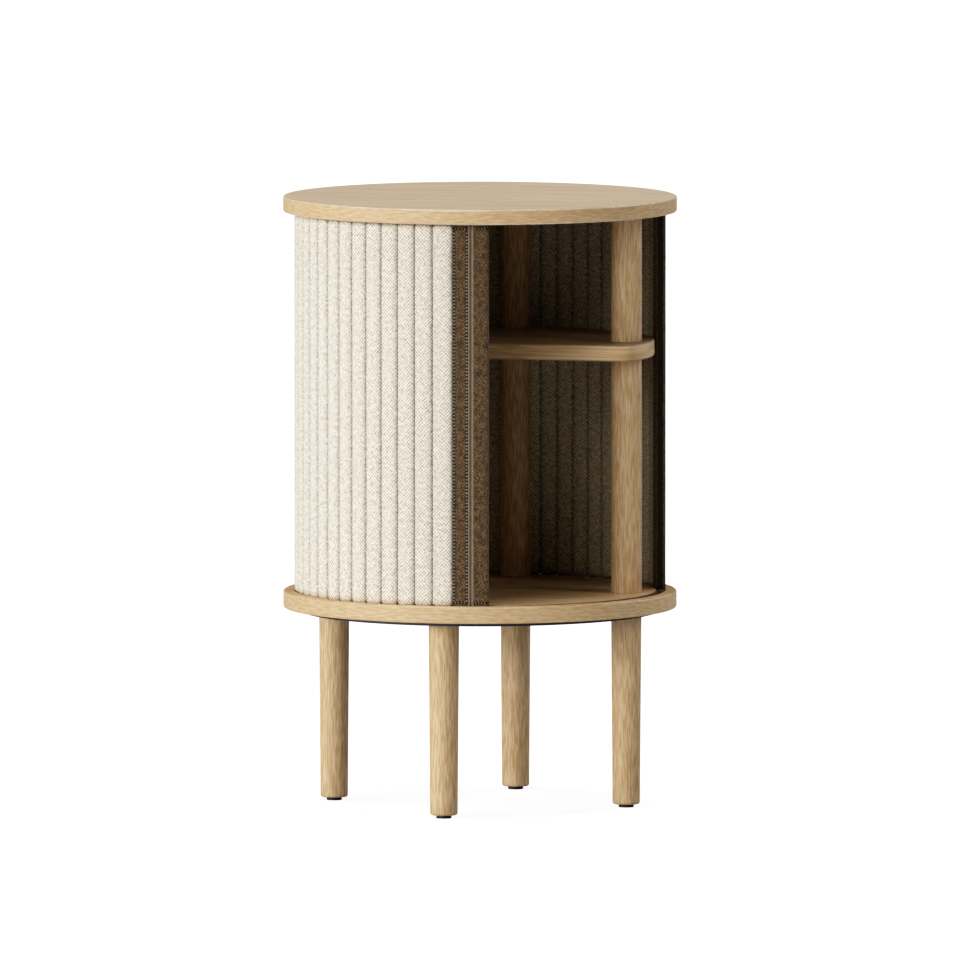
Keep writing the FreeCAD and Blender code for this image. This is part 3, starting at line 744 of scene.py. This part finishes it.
def add_stitch(vertices, faces, start, end, outward):
    """A plump stitch from start to end, raised off the leather at its middle."""
    sideways = (end - start).cross(outward).normalized()
    rings = []
    for ring in range(STITCH_RINGS):
        share = ring / (STITCH_RINGS - 1)
        swell = math.sin(math.pi * (0.12 + 0.76 * share))
        centre = start.lerp(end, share) + outward * STITCH_RADIUS * (1.5 * swell - 0.9)
        radius = STITCH_RADIUS * (0.45 + 0.55 * swell)
        rings.append([centre + sideways * aside + outward * out
                      for aside, out in circle(radius, STITCH_SIDES)])
    add_tube(vertices, faces, rings)


def upright_stitches(radius, angle, face):
    """Start, end and outward direction of each stitch in a row from foot to head.

    face is 1 on the sleeve's outside and -1 on its inside.
    """
    outward = at(face, angle, 0)
    rise = Vector((0, 0, STITCH_LENGTH * STITCH_PITCH))
    for number in range(int((HEM_HEAD - HEM_FOOT - 2 * HEM_LINE) / STITCH_PITCH)):
        height = HEM_FOOT + HEM_LINE + (number + STITCH_START) * STITCH_PITCH
        sunk = radius - STITCH_SINK * face + wobble(angle, height, LEATHER_SWAY)
        start = at(sunk, angle, height)
        yield start, start + rise, outward


def hem_stitches(radius, seam, direction, row, height, face):
    """Start, end and outward direction of each stitch in a row along a hem."""
    low, high = row
    count = round((high - low) / HEM_STITCH_PITCH)
    for number in range(count):
        place = low + (number + STITCH_START) * (high - low) / count
        first = section_angle(place, seam, direction)
        last = section_angle(place + HEM_STITCH_LENGTH * HEM_STITCH_PITCH, seam, direction)
        here = radius + wobble(first, height, LEATHER_SWAY)
        yield at(here, first, height), at(here, last, height), at(face, first, 0)


def make_pull_stitches(name, seam, direction, material):
    """Rows of stitches up the seam and beside the fold, and along both hems."""
    vertices, faces = [], []
    for radius, face in ((OUTER_FACE, 1), (INNER_FACE, -1)):
        stitches = []
        for line in (SEAM_LINE, FOLD_LINE):
            stitches += upright_stitches(radius, section_angle(line, seam, direction), face)
        for height in (HEM_FOOT + HEM_LINE, HEM_HEAD - HEM_LINE):
            for row in HEM_ROWS:
                stitches += hem_stitches(radius, seam, direction, row, height, face)
        for start, end, outward in stitches:
            add_stitch(vertices, faces, start, end, outward)
    new_piece(name, vertices, faces, material)


def make_curtain():
    """Both skins with their valley stitches, and both pulls with theirs."""
    cloth = curtain_cloth("curtain_cloth", (1.0, 1.0, 1.0))
    # The lining carries painted shade in its tones.
    lining = curtain_cloth("curtain_lining_painted_shade", LINING_PAINTED_SHADE)
    leather = pull_leather()
    tan = sewing_thread("tan_thread", TAN_THREAD)
    cream = sewing_thread("cream_thread", CREAM_THREAD)
    make_skin("curtain_outer_cloth", "cover_outer", OUTER_FACE, OUTER_VALLEY, cloth)
    make_skin("curtain_inner_cloth", "cover_inner", INNER_FACE, INNER_VALLEY, lining)
    make_valley_threads("outer_valley_thread", OUTER_VALLEY + 0.1 * MM, 1, cream)
    make_valley_threads("inner_valley_thread", INNER_VALLEY - 0.1 * MM, -1, cream)
    for side, seam, direction in (("front", FRONT_SEAM, 1), ("right", RIGHT_SEAM, -1)):
        make_pull(side, seam, direction, leather)
        make_pull_stitches(f"{side}_pull_stitches", seam, direction, tan)


# ---------------------------------------------------------------- carried-over parts

def finish_cad_parts():
    """Give each CAD node the material of its slot, or its own where it has one.

    The nodes that a sheet replaces have none.
    """
    looks = {
        # The top's faces carry a painted sheen in their tones.
        "oak_board": oak_board("oak_top_painted_sheen", FACE_TONES_PAINTED_SHEEN),
        "oak_turned": oak_turned(),
        "slat_wood": slat_wood(),
        "track_plastic": speckled("brown_plastic", BROWN_PLASTIC, MATT),
        "glide_plastic": speckled("black_plastic", BLACK_PLASTIC, MATT),
        "plate_laminate": speckled("black_laminate", BLACK_LAMINATE, MATT),
        "insert_brass": speckled("brass", BRASS, BRIGHT, 1.0),
        "zinc_steel": speckled("zinc_plate", ZINC, PLATED, 1.0),
    }
    # The shelf's faces are the deck's oak, darkened as painted shade.
    shelf_painted_shade_tones = with_painted_shade(DECK_TONES, SHELF_PAINTED_SHADE)
    special = {
        "base_panel": oak_board("oak_base", DECK_TONES),
        "shelf": oak_board("oak_shelf_painted_shade", shelf_painted_shade_tones, SHELF_RIM_STREAK, 1.0),
    }
    for part in frame["record"]["subparts"]:
        look = special.get(part["node"]) or looks.get(part["material_slot"])
        if look:
            mesh = frame["nodes"][part["node"]].data
            mesh.materials.clear()
            mesh.materials.append(look)


# ---------------------------------------------------------------- floor, light, camera

CAMERA_AZIMUTH = 13.8
CAMERA_ELEVATION = 4.9
CAMERA_DISTANCE = 21.4
CAMERA_AIM = Vector((0, 0, 0.3195))
CAMERA_LENS = 816
CAMERA_REACH = 200

FLOOR_DARK = (0.50, 0.50, 0.50)
FLOOR_LIGHT = (0.54, 0.54, 0.54)
FLOOR_CLOUDS = (3, 3, 3)
FLOOR_GLOW = 0.8
FLOOR_REACH = 40.0
AMBIENT = 0.01
TONE_POWER = 1.4
TONE_SHOULDER = 1.8
TONE_STOPS = (0.01, 0.025, 0.05, 0.1, 0.18, 0.3, 0.45, 0.65, 0.85)

# Each lamp's name, azimuth, elevation, strength and softness; angles are in degrees.
LAMPS = (
    ("key", -50, 6, 1.78, 26),
    ("left", -80, 12, 0.69, 30),
    ("left high", -100, 45, 0.345, 30),
    ("front", -25, 18, 0.41, 26),
    ("overhead", 0, 85, 1.29, 30),
    ("right", 58, 26, 0.39, 30),
    ("back", 130, 22, 0.67, 30),
)


def make_floor():
    """Pale floor that glows for the camera alone, so that it shows as a white backdrop."""
    mesh = bpy.data.meshes.new("floor")
    corners = [(-1, -1), (1, -1), (1, 1), (-1, 1)]
    places = [(x * FLOOR_REACH, y * FLOOR_REACH, 0) for x, y in corners]
    mesh.from_pydata(places, [], [(0, 1, 2, 3)])
    floor = bpy.data.objects.new("floor", mesh)
    bpy.context.scene.collection.objects.link(floor)
    graph = Graph("pale_floor")
    broad = graph.noise(graph.stretched(graph.coordinates(), FLOOR_CLOUDS), 2.0)
    seen = graph.node("ShaderNodeLightPath").outputs["Is Camera Ray"]
    graph.shader.inputs["Emission Color"].default_value = (1, 1, 1, 1)
    graph.plug(graph.math("MULTIPLY", seen, FLOOR_GLOW), graph.shader.inputs["Emission Strength"])
    tone = graph.mix(broad, FLOOR_DARK, FLOOR_LIGHT)
    mesh.materials.append(graph.surface(tone, 0.9))


def heading(azimuth, elevation):
    """Direction out from the object; azimuth is from its front, positive to its right."""
    turn, rise = azimuth * DEG, elevation * DEG
    level = math.cos(rise)
    return Vector((math.sin(turn) * level, -math.cos(turn) * level, math.sin(rise)))


def make_sun(name, azimuth, elevation, strength, softness):
    """A soft distant light; azimuth is from the camera's side, positive to its right."""
    light = bpy.data.lights.new(name, "SUN")
    light.energy = strength
    light.angle = softness * DEG
    lamp = bpy.data.objects.new(name, light)
    bpy.context.scene.collection.objects.link(lamp)
    toward = heading(CAMERA_AZIMUTH + azimuth, elevation)
    lamp.rotation_mode = "QUATERNION"
    lamp.rotation_quaternion = toward.to_track_quat("Z", "Y")
    lamp.location = toward * 3


def make_world():
    """White backdrop for the camera, faint even light for everything else."""
    world = bpy.data.worlds.new("studio")
    world.use_nodes = True
    bpy.context.scene.world = world
    tree = world.node_tree
    backdrop = tree.nodes["Background"]
    backdrop.inputs["Color"].default_value = (1, 1, 1, 1)
    seen = tree.nodes.new("ShaderNodeLightPath")
    strength = tree.nodes.new("ShaderNodeMapRange")
    strength.inputs["To Min"].default_value = AMBIENT
    strength.inputs["To Max"].default_value = 1.0
    tree.links.new(seen.outputs["Is Camera Ray"], strength.inputs["Value"])
    tree.links.new(strength.outputs[0], backdrop.inputs["Strength"])


def make_camera():
    """Long lens from far off, aimed near the middle of the object."""
    data = bpy.data.cameras.new("camera")
    data.sensor_width = 36
    data.lens = CAMERA_LENS
    data.clip_end = CAMERA_REACH
    camera = bpy.data.objects.new("camera", data)
    bpy.context.scene.collection.objects.link(camera)
    back = heading(CAMERA_AZIMUTH, CAMERA_ELEVATION)
    camera.rotation_mode = "QUATERNION"
    camera.location = CAMERA_AIM + back * CAMERA_DISTANCE
    camera.rotation_quaternion = (-back).to_track_quat("-Z", "Y")
    bpy.context.scene.camera = camera


def set_contrast():
    """Soft S-shaped tone curve, as a studio photograph has."""
    settings = bpy.context.scene.view_settings
    settings.view_transform = "Standard"
    settings.use_curve_mapping = True
    curve = settings.curve_mapping.curves[3]
    for place in TONE_STOPS:
        raised = place ** TONE_POWER
        curve.points.new(place, (1 + TONE_SHOULDER) * raised / (1 + TONE_SHOULDER * raised))
    settings.curve_mapping.update()


def make_studio():
    """Tone curve, floor, backdrop, lamps and camera."""
    set_contrast()
    make_floor()
    make_world()
    for lamp in LAMPS:
        make_sun(*lamp)
    make_camera()


finish_cad_parts()
make_curtain()
make_studio()
